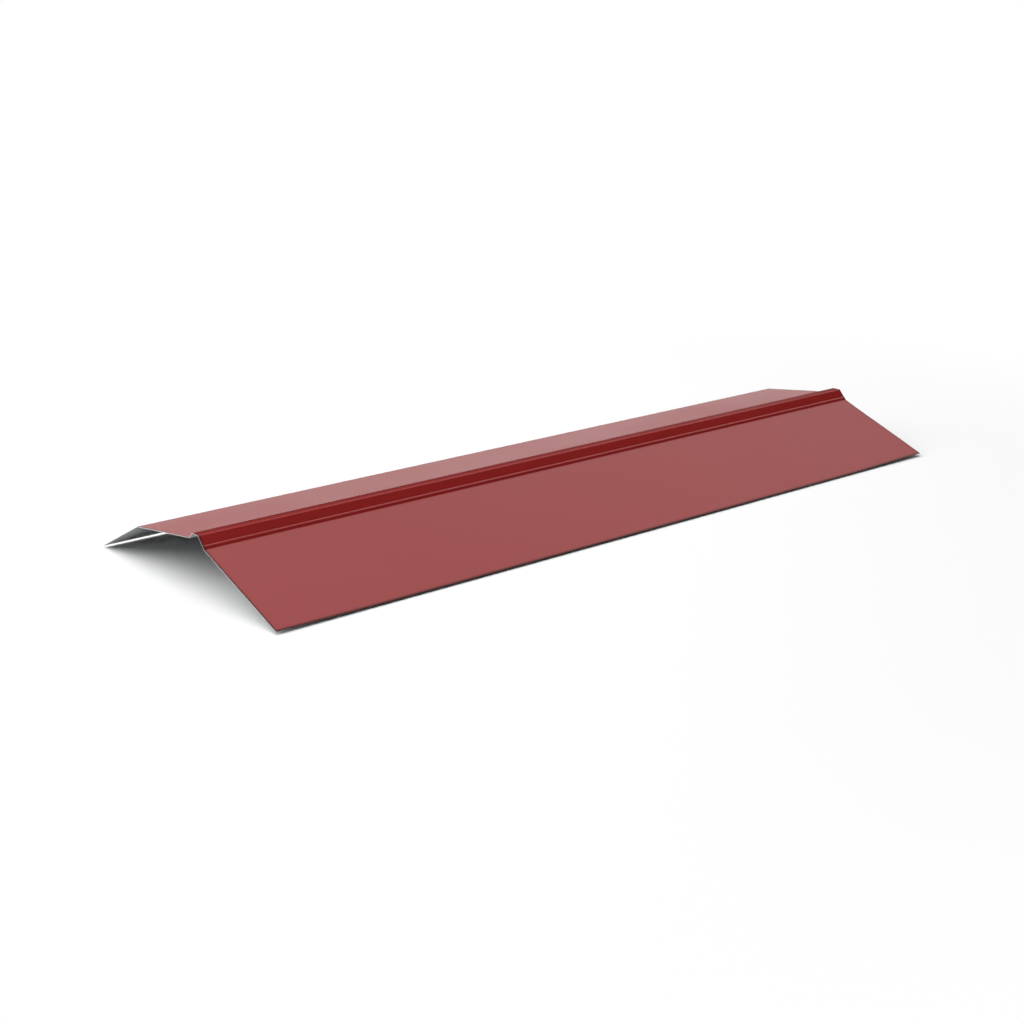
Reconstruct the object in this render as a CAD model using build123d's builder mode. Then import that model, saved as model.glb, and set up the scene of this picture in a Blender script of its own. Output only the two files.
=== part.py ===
from build123d import *
import math
import os

# Roof hip capping: one sheet of pre-painted steel, folded along its length into a raised rib between
# two unequal wings. X runs along the capping, Y across it and Z up. It lies as stored, on both long
# edges, and the origin is on the floor, under the middle of its length and of its span.

# Stock
length = 1250.0
sheet_thickness = 0.7
inner_bend_radius = 1.5
outer_bend_radius = inner_bend_radius + sheet_thickness

# Widths of the flats, measured on the painted face between the fold lines. The rib's high side ends on
# a narrow ledge, and a low steep step takes the sheet down from the ledge to the plain wing.
plain_wing_width = 171.4
foot_step_width = 4.4
foot_ledge_width = 2.1
rib_high_side_width = 14.4
rib_crown_width = 14.9
rib_low_side_width = 10.5
shallow_panel_width = 139.2

# Slopes of the flats from the horizontal, in degrees
plain_wing_slope = 21.7
foot_step_slope = 58.0
foot_ledge_slope = 25.0
rib_high_side_slope = 49.3
rib_low_side_slope = 48.0
shallow_panel_slope = 7.8
drop_panel_slope = 26.9


def across(start, width, slope):
    """The next fold line of the section, one flat further across, and higher where slope is positive."""
    angle = math.radians(slope)
    return (start[0] + width * math.cos(angle), start[1] + width * math.sin(angle))


# Both long edges are cut square to their flats, so the lower corner of each cut stands on the floor
# and the painted face starts and ends a little above it.
plain_wing_edge = (0.0, sheet_thickness * math.cos(math.radians(plain_wing_slope)))
drop_edge_height = sheet_thickness * math.cos(math.radians(drop_panel_slope))

# The fold lines on the painted face, from the plain wing's edge over the rib to the drop panel's edge
step_foot_fold = across(plain_wing_edge, plain_wing_width, plain_wing_slope)
step_top_fold = across(step_foot_fold, foot_step_width, foot_step_slope)
ledge_fold = across(step_top_fold, foot_ledge_width, foot_ledge_slope)
high_crown_fold = across(ledge_fold, rib_high_side_width, rib_high_side_slope)
low_crown_fold = across(high_crown_fold, rib_crown_width, 0.0)
rib_foot_fold = across(low_crown_fold, rib_low_side_width, -rib_low_side_slope)
wing_break_fold = across(rib_foot_fold, shallow_panel_width, -shallow_panel_slope)
drop_panel_width = (wing_break_fold[1] - drop_edge_height) / math.sin(math.radians(drop_panel_slope))
drop_panel_edge = across(wing_break_fold, drop_panel_width, -drop_panel_slope)
span = drop_panel_edge[0]

fold_lines = [
    plain_wing_edge,
    step_foot_fold,
    step_top_fold,
    ledge_fold,
    high_crown_fold,
    low_crown_fold,
    rib_foot_fold,
    wing_break_fold,
    drop_panel_edge,
]

# The painted face is inside the bend at the three valleys, and outside it at the ridges.
fold_radii = [
    inner_bend_radius,
    outer_bend_radius,
    inner_bend_radius,
    outer_bend_radius,
    outer_bend_radius,
    inner_bend_radius,
    outer_bend_radius,
]

with BuildPart() as capping_sheet:
    with BuildSketch(Plane.YZ.offset(-length / 2)) as section:
        with BuildLine(Location((-span / 2, 0))) as painted_face:
            FilletPolyline(*fold_lines, radius=fold_radii)
            offset(amount=sheet_thickness, side=Side.RIGHT)
        make_face()
    extrude(amount=length)

capping_sheet.part.label = "capping_sheet"

os.makedirs("parts", exist_ok=True)
export_step(capping_sheet.part, "parts/capping_sheet.step")

print("size", capping_sheet.part.bounding_box().size, "span", round(span, 1))
print("drop panel width", round(drop_panel_width, 1))
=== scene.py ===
"""The looks of a roof hip capping: one folded sheet of pre-painted steel, on a white studio floor.

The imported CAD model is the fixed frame. Its sheet is stood for by a sheet modelled here, which is
drawn fold by fold from the same sizes, and has its paint, its backing coat and its sheared edges as
separate finishes. Lengths are in metres, X runs along the capping, Y across it and Z up.
"""

import logging
import math
from dataclasses import dataclass, field
from enum import Enum
from typing import Callable, Mapping, Optional, Union

import bpy
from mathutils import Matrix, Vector


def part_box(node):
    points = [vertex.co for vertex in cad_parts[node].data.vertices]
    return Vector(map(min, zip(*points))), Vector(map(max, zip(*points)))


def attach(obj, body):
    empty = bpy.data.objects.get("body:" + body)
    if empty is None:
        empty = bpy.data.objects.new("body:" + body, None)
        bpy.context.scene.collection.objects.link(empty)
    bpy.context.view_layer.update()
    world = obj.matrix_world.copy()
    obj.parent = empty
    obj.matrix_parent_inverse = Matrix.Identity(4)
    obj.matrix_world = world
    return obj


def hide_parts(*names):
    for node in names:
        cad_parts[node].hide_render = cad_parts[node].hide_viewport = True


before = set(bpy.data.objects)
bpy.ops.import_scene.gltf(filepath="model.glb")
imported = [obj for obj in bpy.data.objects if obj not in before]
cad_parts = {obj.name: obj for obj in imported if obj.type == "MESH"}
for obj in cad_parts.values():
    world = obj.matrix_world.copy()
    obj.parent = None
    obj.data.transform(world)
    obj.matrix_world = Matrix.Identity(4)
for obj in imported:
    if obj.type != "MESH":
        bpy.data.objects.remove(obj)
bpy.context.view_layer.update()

MILLIMETRE = 0.001
SAME_PLACE = 0.001 * MILLIMETRE
WHITE = (1.0, 1.0, 1.0, 1.0)
BODY = "root"
CAD_NODE = "capping_sheet"

log = logging.getLogger("capping")

Socket = Union[float, int, tuple, bpy.types.NodeSocket]


def linear(hex_colour: str) -> tuple[float, float, float, float]:
    """Turns an sRGB hex colour to the linear colour that a shader takes, by the standard's own curve.

    Args:
        hex_colour: The colour as six hex digits, such as "8E2A2C".

    Returns:
        Red, green, blue and an alpha of 1, all linear.
    """
    channels = [int(hex_colour[i : i + 2], 16) / 255 for i in (0, 2, 4)]
    red, green, blue = (c / 12.92 if c <= 0.04045 else ((c + 0.055) / 1.055) ** 2.4 for c in channels)
    return red, green, blue, 1.0


def add_node(
    tree: bpy.types.NodeTree,
    kind: str,
    inputs: Optional[Mapping[Union[str, int], Socket]] = None,
    settings: Optional[Mapping[str, object]] = None,
) -> bpy.types.Node:
    """Adds a node, sets its properties, and sets or links its inputs.

    Args:
        tree: The node tree that gets the node.
        kind: The node's type, such as "ShaderNodeTexNoise".
        inputs: Input name or number to a value, or to the output socket that feeds it.
        settings: Property name to value.

    Returns:
        The new node.
    """
    node = tree.nodes.new(kind)
    for name, value in (settings or {}).items():
        setattr(node, name, value)
    for name, value in (inputs or {}).items():
        if isinstance(value, bpy.types.NodeSocket):
            tree.links.new(value, node.inputs[name])
        else:
            node.inputs[name].default_value = value
    return node


def arithmetic(tree: bpy.types.NodeTree, operation: str, *inputs: Socket) -> bpy.types.NodeSocket:
    """Adds a sum, a product or another operation on numbers.

    Args:
        tree: The node tree that gets the operation.
        operation: The Math node's name for it, such as "MAXIMUM".
        inputs: Its one or two inputs.

    Returns:
        The socket with the result.
    """
    return add_node(tree, "ShaderNodeMath", dict(enumerate(inputs)), {"operation": operation}).outputs[0]


def stretched(
    tree: bpy.types.NodeTree,
    value: bpy.types.NodeSocket,
    ends: tuple[float, float],
    results: tuple[float, float],
    curve: str = "LINEAR",
) -> bpy.types.NodeSocket:
    """Takes a value from one range to another, and holds it beyond both ends.

    Args:
        tree: The node tree that gets the node.
        value: The value.
        ends: Where its range starts and ends.
        results: What the start and the end become.
        curve: How it goes from one to the other, "LINEAR" or "SMOOTHSTEP".

    Returns:
        The socket with the result.
    """
    inputs = {
        "Value": value,
        "From Min": ends[0],
        "From Max": ends[1],
        "To Min": results[0],
        "To Max": results[1],
    }
    return add_node(tree, "ShaderNodeMapRange", inputs, {"interpolation_type": curve}).outputs["Result"]


def mixed_colour(
    tree: bpy.types.NodeTree, factor: bpy.types.NodeSocket, low_colour: Socket, high_colour: Socket
) -> bpy.types.NodeSocket:
    """Blends two linear colours by a pattern.

    Args:
        tree: The node tree that gets the blend.
        factor: The pattern, from 0 to 1.
        low_colour: The colour where the pattern is 0.
        high_colour: The colour where the pattern is 1.

    Returns:
        The socket with the blended colour.
    """
    inputs = {0: factor, 6: low_colour, 7: high_colour}
    return add_node(tree, "ShaderNodeMix", inputs, {"data_type": "RGBA"}).outputs[2]


def cloudy(
    tree: bpy.types.NodeTree, place: bpy.types.NodeSocket, size: float, detail: float, roughness: float
) -> bpy.types.NodeSocket:
    """Adds a soft irregular pattern.

    Args:
        tree: The node tree that gets the pattern.
        place: The point's place.
        size: The size of the largest clouds.
        detail: How many finer layers lie over them.
        roughness: How strong the finer layers are.

    Returns:
        The socket with the pattern, from 0 to 1.
    """
    inputs = {"Vector": place, "Scale": 1 / size, "Detail": detail, "Roughness": roughness}
    return add_node(tree, "ShaderNodeTexNoise", inputs).outputs["Fac"]


def own_place(tree: bpy.types.NodeTree) -> bpy.types.NodeSocket:
    """The point's place in the object's own metres."""
    return add_node(tree, "ShaderNodeTexCoord").outputs["Object"]


def empty_material(name: str) -> bpy.types.Material:
    """A new material with no nodes in its tree."""
    material = bpy.data.materials.new(name)
    material.use_nodes = True
    material.node_tree.nodes.clear()
    return material


def finish_surface(tree: bpy.types.NodeTree, inputs: Mapping[str, Socket]) -> None:
    """Gives a material its shader, with the inputs given, and its output."""
    shader = add_node(tree, "ShaderNodeBsdfPrincipled", inputs)
    add_node(tree, "ShaderNodeOutputMaterial", {"Surface": shader.outputs["BSDF"]})


@dataclass(frozen=True)
class PolyesterCoilPaint:
    """The red face: a roller-coated polyester on zinc-coated steel, baked on before it was folded.

    It gives the eye a smooth satin red with a fine orange peel and a pale veil at low angles. It also
    has painted shade: a thin dark, less glossy line along every cut edge, and a fainter band along the
    rib's crown.

    Attributes:
        crown_shade_fold: Where the fold along the rib's crown, which the painted shade follows, is
            across the sheet.
    """

    crown_shade_fold: float

    colour: str = "992221"
    tint: str = "9D2423"
    # Painted shade along the cut edges and on the rib's crown: its colour, its gloss and its widths.
    painted_shade_colour: str = "3A0C0E"
    gloss: float = 0.5
    painted_shade_gloss: float = 0.15
    edge_shade_width: float = 4.0 * MILLIMETRE
    # Painted shade on the rib's crown: its strength and its reach either side of the fold.
    crown_shade_strength: float = 0.5
    crown_shade_width: float = 13.0 * MILLIMETRE
    roughness: float = 0.24
    roughness_spread: float = 0.02
    ior: float = 1.65
    peel_size: float = 5.0 * MILLIMETRE
    peel_detail: float = 2.0
    peel_fineness: float = 0.4
    peel_height: float = 0.001 * MILLIMETRE
    cloud_size: float = 240 * MILLIMETRE
    cloud_detail: float = 2.0
    cloud_fineness: float = 0.5
    cloud_ends: tuple[float, float] = (0.3, 0.7)

    def painted_edge_and_crown_shade(
        self, tree: bpy.types.NodeTree, place: bpy.types.NodeSocket
    ) -> bpy.types.NodeSocket:
        """Finds where the paint is darkened as painted shade: near a cut edge, and less near the crown
        fold.

        Args:
            tree: The paint's node tree.
            place: The point's place in the sheet's own metres.

        Returns:
            A socket for the painted shade: 1 on a cut edge, less on the crown fold, and 0 away from
                them.
        """
        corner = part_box(CAD_NODE)[1]
        part = add_node(tree, "ShaderNodeSeparateXYZ", {"Vector": place}).outputs
        gaps = []
        for axis, half in (("X", corner.x), ("Y", corner.y)):
            off_middle = arithmetic(tree, "ABSOLUTE", part[axis])
            gaps.append(arithmetic(tree, "SUBTRACT", half, off_middle))
        nearest = arithmetic(tree, "MINIMUM", *gaps)
        # Painted shade in a dark band along every cut edge.
        painted_shade = stretched(tree, nearest, (0.0, self.edge_shade_width), (1.0, 0.0))
        off_fold = arithmetic(tree, "SUBTRACT", part["Y"], self.crown_shade_fold)
        away = arithmetic(tree, "ABSOLUTE", off_fold)
        # Painted shade, fainter, either side of the fold between the rib's crown and its low side.
        crown_shade = stretched(tree, away, (0.0, self.crown_shade_width), (self.crown_shade_strength, 0.0))
        return arithmetic(tree, "MAXIMUM", painted_shade, crown_shade)

    def material(self) -> bpy.types.Material:
        """Builds the paint's shader, with its patterns in real millimetres.

        Returns:
            The material for the painted face.
        """
        material = empty_material("polyester_coil_paint")
        tree = material.node_tree
        place = own_place(tree)
        cloud = cloudy(tree, place, self.cloud_size, self.cloud_detail, self.cloud_fineness)
        peel = cloudy(tree, place, self.peel_size, self.peel_detail, self.peel_fineness)
        bump = add_node(tree, "ShaderNodeBump", {"Height": peel, "Distance": self.peel_height})
        clear_colour = mixed_colour(tree, cloud, linear(self.colour), linear(self.tint))
        # Painted shade: the paint turns dark and less glossy near the cut edges and the crown fold.
        painted_shade = self.painted_edge_and_crown_shade(tree, place)
        smoothest, roughest = (self.roughness + side * self.roughness_spread for side in (-1, 1))
        inputs = {
            "Base Color": mixed_colour(tree, painted_shade, clear_colour, linear(self.painted_shade_colour)),
            "Roughness": stretched(tree, cloud, self.cloud_ends, (smoothest, roughest)),
            "IOR": self.ior,
            "Specular IOR Level": stretched(tree, painted_shade, (0.0, 1.0), (self.gloss, self.painted_shade_gloss)),
            "Normal": bump.outputs["Normal"],
        }
        finish_surface(tree, inputs)
        return material


@dataclass(frozen=True)
class EpoxyBackingCoat:
    """The grey underside: a thin epoxy wash over the zinc.

    It gives the eye a matt grey with faint streaks across the capping, the way the coil ran.
    """

    colour: str = "B4B7B6"
    tint: str = "A4A8A8"
    roughness: float = 0.5
    ior: float = 1.5
    streak_width: float = 6.25 * MILLIMETRE
    streak_length: float = 83.33 * MILLIMETRE
    streak_detail: float = 4.0
    streak_fineness: float = 0.6

    def material(self) -> bpy.types.Material:
        """Builds the backing coat's shader.

        Returns:
            The material for the underside.
        """
        material = empty_material("epoxy_backing_coat")
        tree = material.node_tree
        scale = (1 / self.streak_width, 1 / self.streak_length, 1 / self.streak_length)
        drawn_out = add_node(tree, "ShaderNodeMapping", {"Vector": own_place(tree), "Scale": scale})
        streak = cloudy(tree, drawn_out.outputs["Vector"], 1.0, self.streak_detail, self.streak_fineness)
        colour = mixed_colour(tree, streak, linear(self.colour), linear(self.tint))
        finish_surface(tree, {"Base Color": colour, "Roughness": self.roughness, "IOR": self.ior})
        return material


@dataclass(frozen=True)
class ShearedSteelEdge:
    """The cut ends: bare steel between two zinc skins.

    It gives the eye the bright thin line round the near end.
    """

    colour: str = "F2E6E4"
    tint: str = "E2D4D2"
    metallic: float = 0.15
    roughness: float = 0.45
    grain_size: float = 1.111 * MILLIMETRE
    grain_detail: float = 3.0
    grain_fineness: float = 0.5

    def material(self) -> bpy.types.Material:
        """Builds the cut edge's shader.

        Returns:
            The material for the sheared edges.
        """
        material = empty_material("sheared_zinc_coated_steel")
        tree = material.node_tree
        grain = cloudy(tree, own_place(tree), self.grain_size, self.grain_detail, self.grain_fineness)
        colour = mixed_colour(tree, grain, linear(self.colour), linear(self.tint))
        inputs = {"Base Color": colour, "Metallic": self.metallic, "Roughness": self.roughness}
        finish_surface(tree, inputs)
        return material


class Side(Enum):
    """The sheet's three kinds of surface, numbered as its material slots."""

    PAINTED = 0
    BACKING = 1
    CUT = 2


@dataclass(frozen=True)
class Flat:
    """One flat of the section, between two fold lines, on the painted face.

    Attributes:
        name: What the flat is called.
        width: Its width across the fold lines.
        slope: Its slope in degrees, positive where it rises towards +Y.
        bend_radius: The painted face's radius in the bend before the flat.
    """

    name: str
    width: float
    slope: float
    bend_radius: float

    def step(self) -> Vector:
        """The way from the flat's first fold line to its last one."""
        angle = math.radians(self.slope)
        return Vector((0.0, self.width * math.cos(angle), self.width * math.sin(angle)))


def clear_selection(kind: str) -> None:
    """Selects nothing of the sheet's mesh, and leaves it in object mode.

    Args:
        kind: What is to be selected next, "VERT", "EDGE" or "FACE".
    """
    bpy.ops.object.mode_set(mode="EDIT")
    bpy.ops.mesh.select_mode(type=kind)
    bpy.ops.mesh.select_all(action="DESELECT")
    bpy.ops.object.mode_set(mode="OBJECT")


@dataclass
class CappingSheet:
    """The whole capping: one sheet, with a raised rib between two unequal wings."""

    flats: tuple[Flat, ...] = (
        Flat("plain_wing", 171.4 * MILLIMETRE, 21.7, 0.0),
        Flat("foot_step", 4.4 * MILLIMETRE, 58.0, 1.5 * MILLIMETRE),
        Flat("foot_ledge", 2.1 * MILLIMETRE, 25.0, 2.2 * MILLIMETRE),
        Flat("rib_high_side", 14.4 * MILLIMETRE, 49.3, 1.5 * MILLIMETRE),
        Flat("rib_crown", 14.9 * MILLIMETRE, 0.0, 2.2 * MILLIMETRE),
        Flat("rib_low_side", 10.5 * MILLIMETRE, -48.0, 2.2 * MILLIMETRE),
        Flat("shallow_panel", 139.2 * MILLIMETRE, -7.8, 1.5 * MILLIMETRE),
    )
    drop_slope: float = -26.9
    drop_bend_radius: float = 2.2 * MILLIMETRE
    thickness: float = 0.7 * MILLIMETRE
    bend_segments: int = 6
    strip_width: float = 24 * MILLIMETRE
    bay_length: float = 25 * MILLIMETRE
    tip_lifts: tuple[float, float] = (1.4 * MILLIMETRE, 2.2 * MILLIMETRE)
    lift_reach: float = 170 * MILLIMETRE
    smooth_angle: float = 30.0
    length: float = field(init=False)
    start: Vector = field(init=False)

    def __post_init__(self) -> None:
        """Takes the length and the first edge from the frame, and adds the drop panel to the floor."""
        low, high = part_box(CAD_NODE)
        self.length = high.x - low.x
        first_slope = math.radians(self.flats[0].slope)
        self.start = Vector((0.0, low.y, low.z + self.thickness * math.cos(first_slope)))
        top = self.start.z + sum(flat.step().z for flat in self.flats)
        drop_angle = math.radians(-self.drop_slope)
        fall = top - low.z - self.thickness * math.cos(drop_angle)
        width = fall / math.sin(drop_angle)
        self.flats += (Flat("drop_panel", width, self.drop_slope, self.drop_bend_radius),)

    def fold_lines(self) -> list[Vector]:
        """The points of the section where two flats meet, from the plain wing to the drop panel."""
        lines = []
        place = self.start.copy()
        for flat in self.flats[:-1]:
            place = place + flat.step()
            lines.append(place)
        return lines

    def select_points(self, sheet: bpy.types.Object, chosen: Callable[[Vector], bool]) -> None:
        """Selects vertices by their place, and leaves the sheet in edit mode.

        Args:
            sheet: The sheet, in any mode.
            chosen: Says for a vertex's place whether it is selected.
        """
        clear_selection("VERT")
        for vertex in sheet.data.vertices:
            vertex.select = chosen(vertex.co)
        bpy.ops.object.mode_set(mode="EDIT")

    def select_edges(self, sheet: bpy.types.Object, chosen: Callable[[Vector, Vector], bool]) -> None:
        """Selects edges by the places of their ends, and leaves the sheet in edit mode.

        Args:
            sheet: The sheet, in any mode.
            chosen: Says for an edge's two ends whether it is selected.
        """
        clear_selection("EDGE")
        for edge in sheet.data.edges:
            first, last = (sheet.data.vertices[i].co for i in edge.vertices)
            edge.select = chosen(first, last)
        bpy.ops.object.mode_set(mode="EDIT")

    def blank(self) -> bpy.types.Object:
        """Lays down the plain wing as the first flat.

        Returns:
            The new sheet, with one face.
        """
        wing = self.flats[0]
        middle = self.start + wing.step() / 2
        bpy.ops.object.select_all(action="DESELECT")
        bpy.ops.mesh.primitive_plane_add(
            size=self.length, location=middle, rotation=(math.radians(wing.slope), 0.0, 0.0)
        )
        sheet = bpy.context.object
        sheet.name = "folded_capping"
        sheet.scale = (1.0, wing.width / self.length, 1.0)
        bpy.ops.object.transform_apply(location=True, rotation=True, scale=True)
        return sheet

    def fold_up(self, sheet: bpy.types.Object) -> None:
        """Draws the other flats out of the plain wing's upper edge, one after another."""
        upper_edge = (self.start + self.flats[0].step()).y
        self.select_points(sheet, lambda place: abs(place.y - upper_edge) < self.thickness)
        for flat in self.flats[1:]:
            bpy.ops.mesh.extrude_region_move(TRANSFORM_OT_translate={"value": flat.step()})
        bpy.ops.object.mode_set(mode="OBJECT")

    def round_folds(self, sheet: bpy.types.Object) -> None:
        """Bevels each fold line to the arc that the painted face takes there."""
        for line, before, after in zip(self.fold_lines(), self.flats, self.flats[1:]):

            def on_line(place: Vector) -> bool:
                """Whether a place is on this fold line, anywhere along the sheet."""
                return (place - Vector((place.x, line.y, line.z))).length < self.thickness / 2

            self.select_edges(sheet, lambda a, b: on_line(a) and on_line(b))
            turn = math.radians(abs(after.slope - before.slope))
            reach = after.bend_radius * math.tan(turn / 2)
            bpy.ops.mesh.bevel(
                offset_type="OFFSET", offset=reach, segments=self.bend_segments, affect="EDGES"
            )
            bpy.ops.object.mode_set(mode="OBJECT")

    def cut_up(self, sheet: bpy.types.Object) -> None:
        """Divides the flats into strips and the length into bays, so that the sheet can curl.

        The bends have taken a little of each flat's width, so an edge across a flat counts as whole
        when it is within a fifth of that width, and one along the sheet above half the length.
        """
        for flat in self.flats:
            strips = round(flat.width / self.strip_width)
            if strips < 2:
                continue
            slack = flat.width / 5
            self.select_edges(
                sheet,
                lambda a, b: abs(a.x - b.x) < SAME_PLACE and abs((a - b).length - flat.width) < slack,
            )
            bpy.ops.mesh.subdivide(number_cuts=strips - 1)
            bpy.ops.object.mode_set(mode="OBJECT")
        bays = round(self.length / self.bay_length)
        self.select_edges(sheet, lambda a, b: abs(a.x - b.x) > self.length / 2)
        bpy.ops.mesh.subdivide(number_cuts=bays - 1)
        bpy.ops.object.mode_set(mode="OBJECT")

    def curl_tips(self, sheet: bpy.types.Object) -> None:
        """Lifts the two free corners of the plain wing, and less and less of the wing round them."""
        for side, lift in zip((-1, 1), self.tip_lifts):
            corner = Vector((side * self.length / 2, self.start.y, self.start.z))
            self.select_points(sheet, lambda place: (place - corner).length < self.thickness)
            bpy.ops.transform.translate(
                value=(0.0, 0.0, lift),
                use_proportional_edit=True,
                proportional_edit_falloff="SMOOTH",
                proportional_size=self.lift_reach,
            )
            bpy.ops.object.mode_set(mode="OBJECT")

    def dress(self, sheet: bpy.types.Object) -> None:
        """Gives the sheet its three finishes, in the order of Side."""
        names = [flat.name for flat in self.flats[1:]]
        # The painted crown shade runs along the fold between the rib's crown and its low side.
        crown_shade_fold = self.fold_lines()[names.index("rib_low_side")].y
        for finish in (PolyesterCoilPaint(crown_shade_fold), EpoxyBackingCoat(), ShearedSteelEdge()):
            sheet.data.materials.append(finish.material())

    def thicken(self, sheet: bpy.types.Object) -> None:
        """Gives the painted face its sheet underneath, with the backing coat and the cut edges."""
        bpy.ops.object.modifier_add(type="SOLIDIFY")
        solidify = sheet.modifiers[-1]
        solidify.thickness = self.thickness
        solidify.offset = -1.0
        solidify.use_even_offset = True
        solidify.material_offset = Side.BACKING.value
        solidify.material_offset_rim = Side.CUT.value
        bpy.ops.object.modifier_apply(modifier=solidify.name)

    def paint_long_edges(self, sheet: bpy.types.Object) -> None:
        """Gives the paint to the long edges' cut faces, where the painted shade along the cut edges
        makes them dark red.
        """
        clear_selection("FACE")
        for face in sheet.data.polygons:
            faces_across = abs(face.normal.y) > abs(face.normal.x)
            face.select = face.material_index == Side.CUT.value and faces_across
        bpy.ops.object.mode_set(mode="EDIT")
        sheet.active_material_index = Side.PAINTED.value
        bpy.ops.object.material_slot_assign()
        bpy.ops.object.mode_set(mode="OBJECT")

    def smooth(self, sheet: bpy.types.Object) -> None:
        """Shades the folds smooth and keeps the flats flat and the cut edges sharp."""
        bpy.ops.object.shade_smooth_by_angle(angle=math.radians(self.smooth_angle))
        bpy.ops.object.modifier_add(type="WEIGHTED_NORMAL")
        weighted = sheet.modifiers[-1]
        weighted.keep_sharp = True
        bpy.ops.object.modifier_apply(modifier=weighted.name)

    def build(self) -> bpy.types.Object:
        """Models the sheet and puts it in the CAD sheet's place.

        Returns:
            The finished piece.
        """
        sheet = self.blank()
        self.fold_up(sheet)
        self.round_folds(sheet)
        self.cut_up(sheet)
        self.curl_tips(sheet)
        self.dress(sheet)
        self.thicken(sheet)
        self.paint_long_edges(sheet)
        self.smooth(sheet)
        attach(sheet, BODY)
        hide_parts(CAD_NODE)
        return sheet


@dataclass
class StudioFloor:
    """The white floor that the capping lies on, and that turns to plain white further off."""

    width: float = 400.0
    colour: str = "E0E0E0"
    camera_white: float = 0.95
    gap: float = 2.4 * MILLIMETRE
    matt_radius: float = 0.75
    white_radius: float = 1.5

    def material(self) -> bpy.types.Material:
        """Builds the floor's shader.

        Returns:
            A matt white that keeps shadows and is a little brighter to the camera, and that far from
            the capping is plain white to the camera and in reflections.
        """
        material = empty_material("white_studio_floor")
        tree = material.node_tree
        away = add_node(tree, "ShaderNodeVectorMath", {0: own_place(tree)}, {"operation": "LENGTH"})
        radii = (self.matt_radius, self.white_radius)
        far = stretched(tree, away.outputs["Value"], radii, (0.0, 1.0), "SMOOTHSTEP")
        rays = add_node(tree, "ShaderNodeLightPath").outputs
        seen = rays["Is Camera Ray"]
        for kind in ("Is Glossy Ray", "Is Transmission Ray"):
            seen = arithmetic(tree, "MAXIMUM", seen, rays[kind])
        white = arithmetic(tree, "MULTIPLY", seen, far)
        camera_colour = (self.camera_white, self.camera_white, self.camera_white, 1.0)
        colour = mixed_colour(tree, rays["Is Camera Ray"], linear(self.colour), camera_colour)
        matt = add_node(tree, "ShaderNodeBsdfDiffuse", {"Color": colour})
        glow = add_node(tree, "ShaderNodeEmission")
        ends = {0: white, 1: matt.outputs["BSDF"], 2: glow.outputs["Emission"]}
        mix = add_node(tree, "ShaderNodeMixShader", ends)
        add_node(tree, "ShaderNodeOutputMaterial", {"Surface": mix.outputs["Shader"]})
        return material

    def build(self) -> bpy.types.Object:
        """Adds the floor.

        Returns:
            The floor.
        """
        bpy.ops.object.select_all(action="DESELECT")
        bpy.ops.mesh.primitive_plane_add(size=self.width, location=(0.0, 0.0, -self.gap))
        floor = bpy.context.object
        floor.name = "studio_floor"
        bpy.ops.object.transform_apply(location=True, rotation=True, scale=True)
        floor.data.materials.append(self.material())
        return floor


@dataclass
class Softbox:
    """A round soft light that is aimed at the capping.

    Attributes:
        name: The lamp's name.
        azimuth: Its direction in degrees, from +X towards +Y.
        elevation: Its height in degrees above the floor.
        half_angle: How wide the capping sees it, in degrees from its middle to its rim.
        radiance: How bright its face is, where 1 is white.
        distance: How far it is from the capping.
    """

    name: str
    azimuth: float
    elevation: float
    half_angle: float
    radiance: float
    distance: float = 8.0

    def build(self) -> bpy.types.Object:
        """Adds the lamp, with the power that gives its face this radiance.

        Returns:
            The lamp.
        """
        azimuth, elevation = math.radians(self.azimuth), math.radians(self.elevation)
        sideways = math.cos(elevation)
        axis = Vector((sideways * math.cos(azimuth), sideways * math.sin(azimuth), math.sin(elevation)))
        radius = self.distance * math.tan(math.radians(self.half_angle))
        area = math.pi * radius**2
        bpy.ops.object.light_add(type="AREA", location=axis * self.distance)
        lamp = bpy.context.object
        lamp.name = self.name
        lamp.rotation_euler = axis.to_track_quat("Z", "Y").to_euler()
        lamp.data.shape = "DISK"
        lamp.data.size = 2 * radius
        lamp.data.energy = self.radiance * math.pi * area
        return lamp


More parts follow.
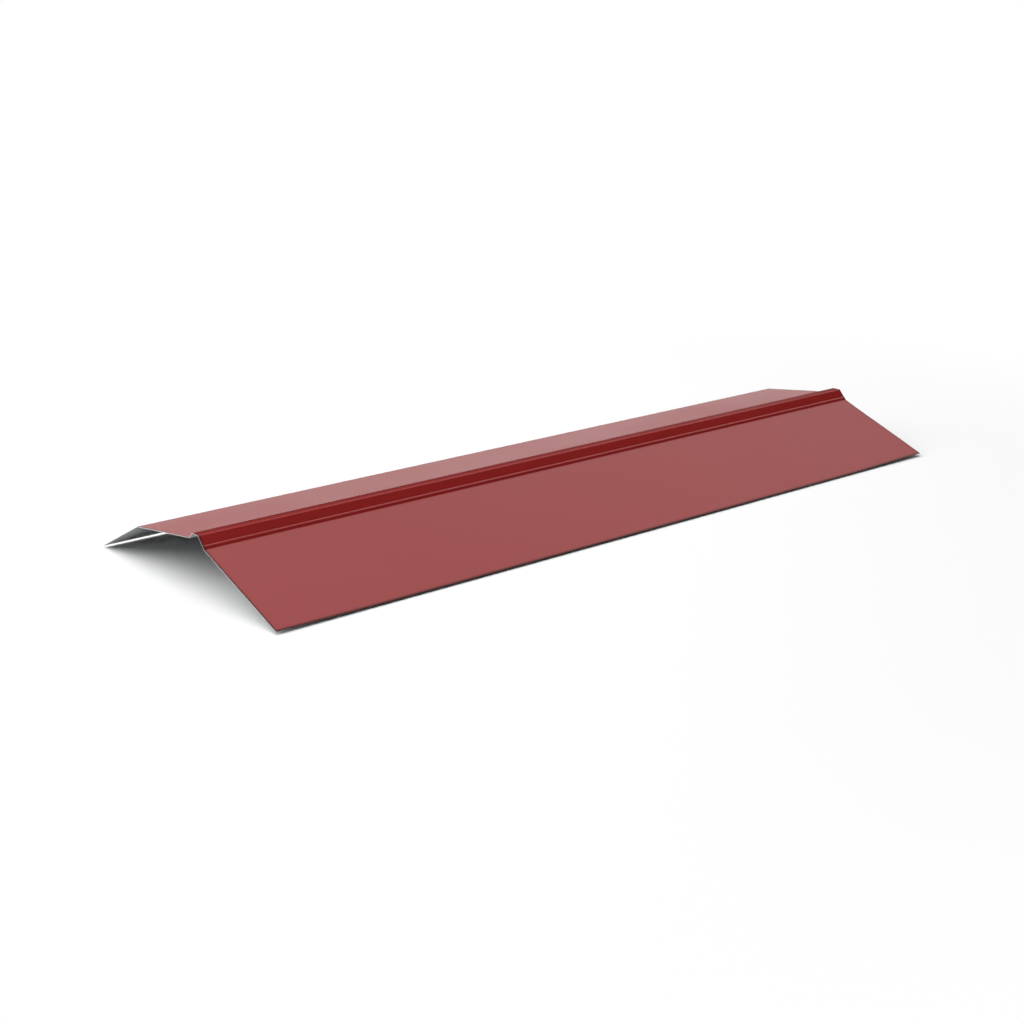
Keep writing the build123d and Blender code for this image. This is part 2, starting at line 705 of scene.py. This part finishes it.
@dataclass
class StudioRoom:
    """The room round the floor: pale at the horizon, where the floor's sweep ends, and dim above it."""

    horizon: float = 0.696
    gloom: float = 0.032
    horizon_top: float = 0.11
    gloom_from: float = 0.17

    def build(self) -> bpy.types.World:
        """Sets the world, which is plain white where the camera sees it.

        Returns:
            The world.
        """
        world = bpy.data.worlds.new("studio_room")
        world.use_nodes = True
        tree = world.node_tree
        tree.nodes.clear()
        direction = add_node(tree, "ShaderNodeTexCoord").outputs["Generated"]
        height = add_node(tree, "ShaderNodeSeparateXYZ", {"Vector": direction}).outputs["Z"]
        heights = (self.horizon_top, self.gloom_from)
        fade = stretched(tree, height, heights, (self.horizon, self.gloom), "SMOOTHSTEP")
        rays = add_node(tree, "ShaderNodeLightPath").outputs
        strength = arithmetic(tree, "MAXIMUM", fade, rays["Is Camera Ray"])
        background = add_node(tree, "ShaderNodeBackground", {"Color": WHITE, "Strength": strength})
        add_node(tree, "ShaderNodeOutputWorld", {"Surface": background.outputs["Background"]})
        bpy.context.scene.world = world
        return world


@dataclass
class PhotoCamera:
    """The camera at the photograph's place, with its 60 mm view."""

    place: tuple[float, float, float] = (-1.6383, -1.8478, 0.7388)
    yaw: float = 40.31
    pitch: float = 17.19
    focal_length: float = 59.88
    sensor_width: float = 36.0
    clip_end: float = 1000.0

    def build(self) -> bpy.types.Object:
        """Adds the camera and makes it the scene's own.

        Returns:
            The camera.
        """
        rotation = (math.radians(90 - self.pitch), 0.0, math.radians(-self.yaw))
        bpy.ops.object.camera_add(location=self.place, rotation=rotation)
        camera = bpy.context.object
        camera.name = "photo_camera"
        camera.data.lens = self.focal_length
        camera.data.sensor_width = self.sensor_width
        camera.data.clip_end = self.clip_end
        bpy.context.scene.camera = camera
        return camera


def main() -> None:
    """Builds the camera, the studio and the capping, and reports each piece."""
    logging.basicConfig(level=logging.INFO, format="%(name)s: %(message)s")
    bpy.context.scene.view_settings.view_transform = "Standard"
    parts = (
        PhotoCamera(),
        StudioRoom(),
        StudioFloor(),
        Softbox("key_softbox", azimuth=145, elevation=57, half_angle=41, radiance=2.58),
        Softbox("side_softbox", azimuth=25, elevation=50, half_angle=24, radiance=0.8),
        CappingSheet(),
    )
    for part in parts:
        piece = part.build()
        log.info("%s is built", piece.name)


if __name__ == "__main__":
    main()
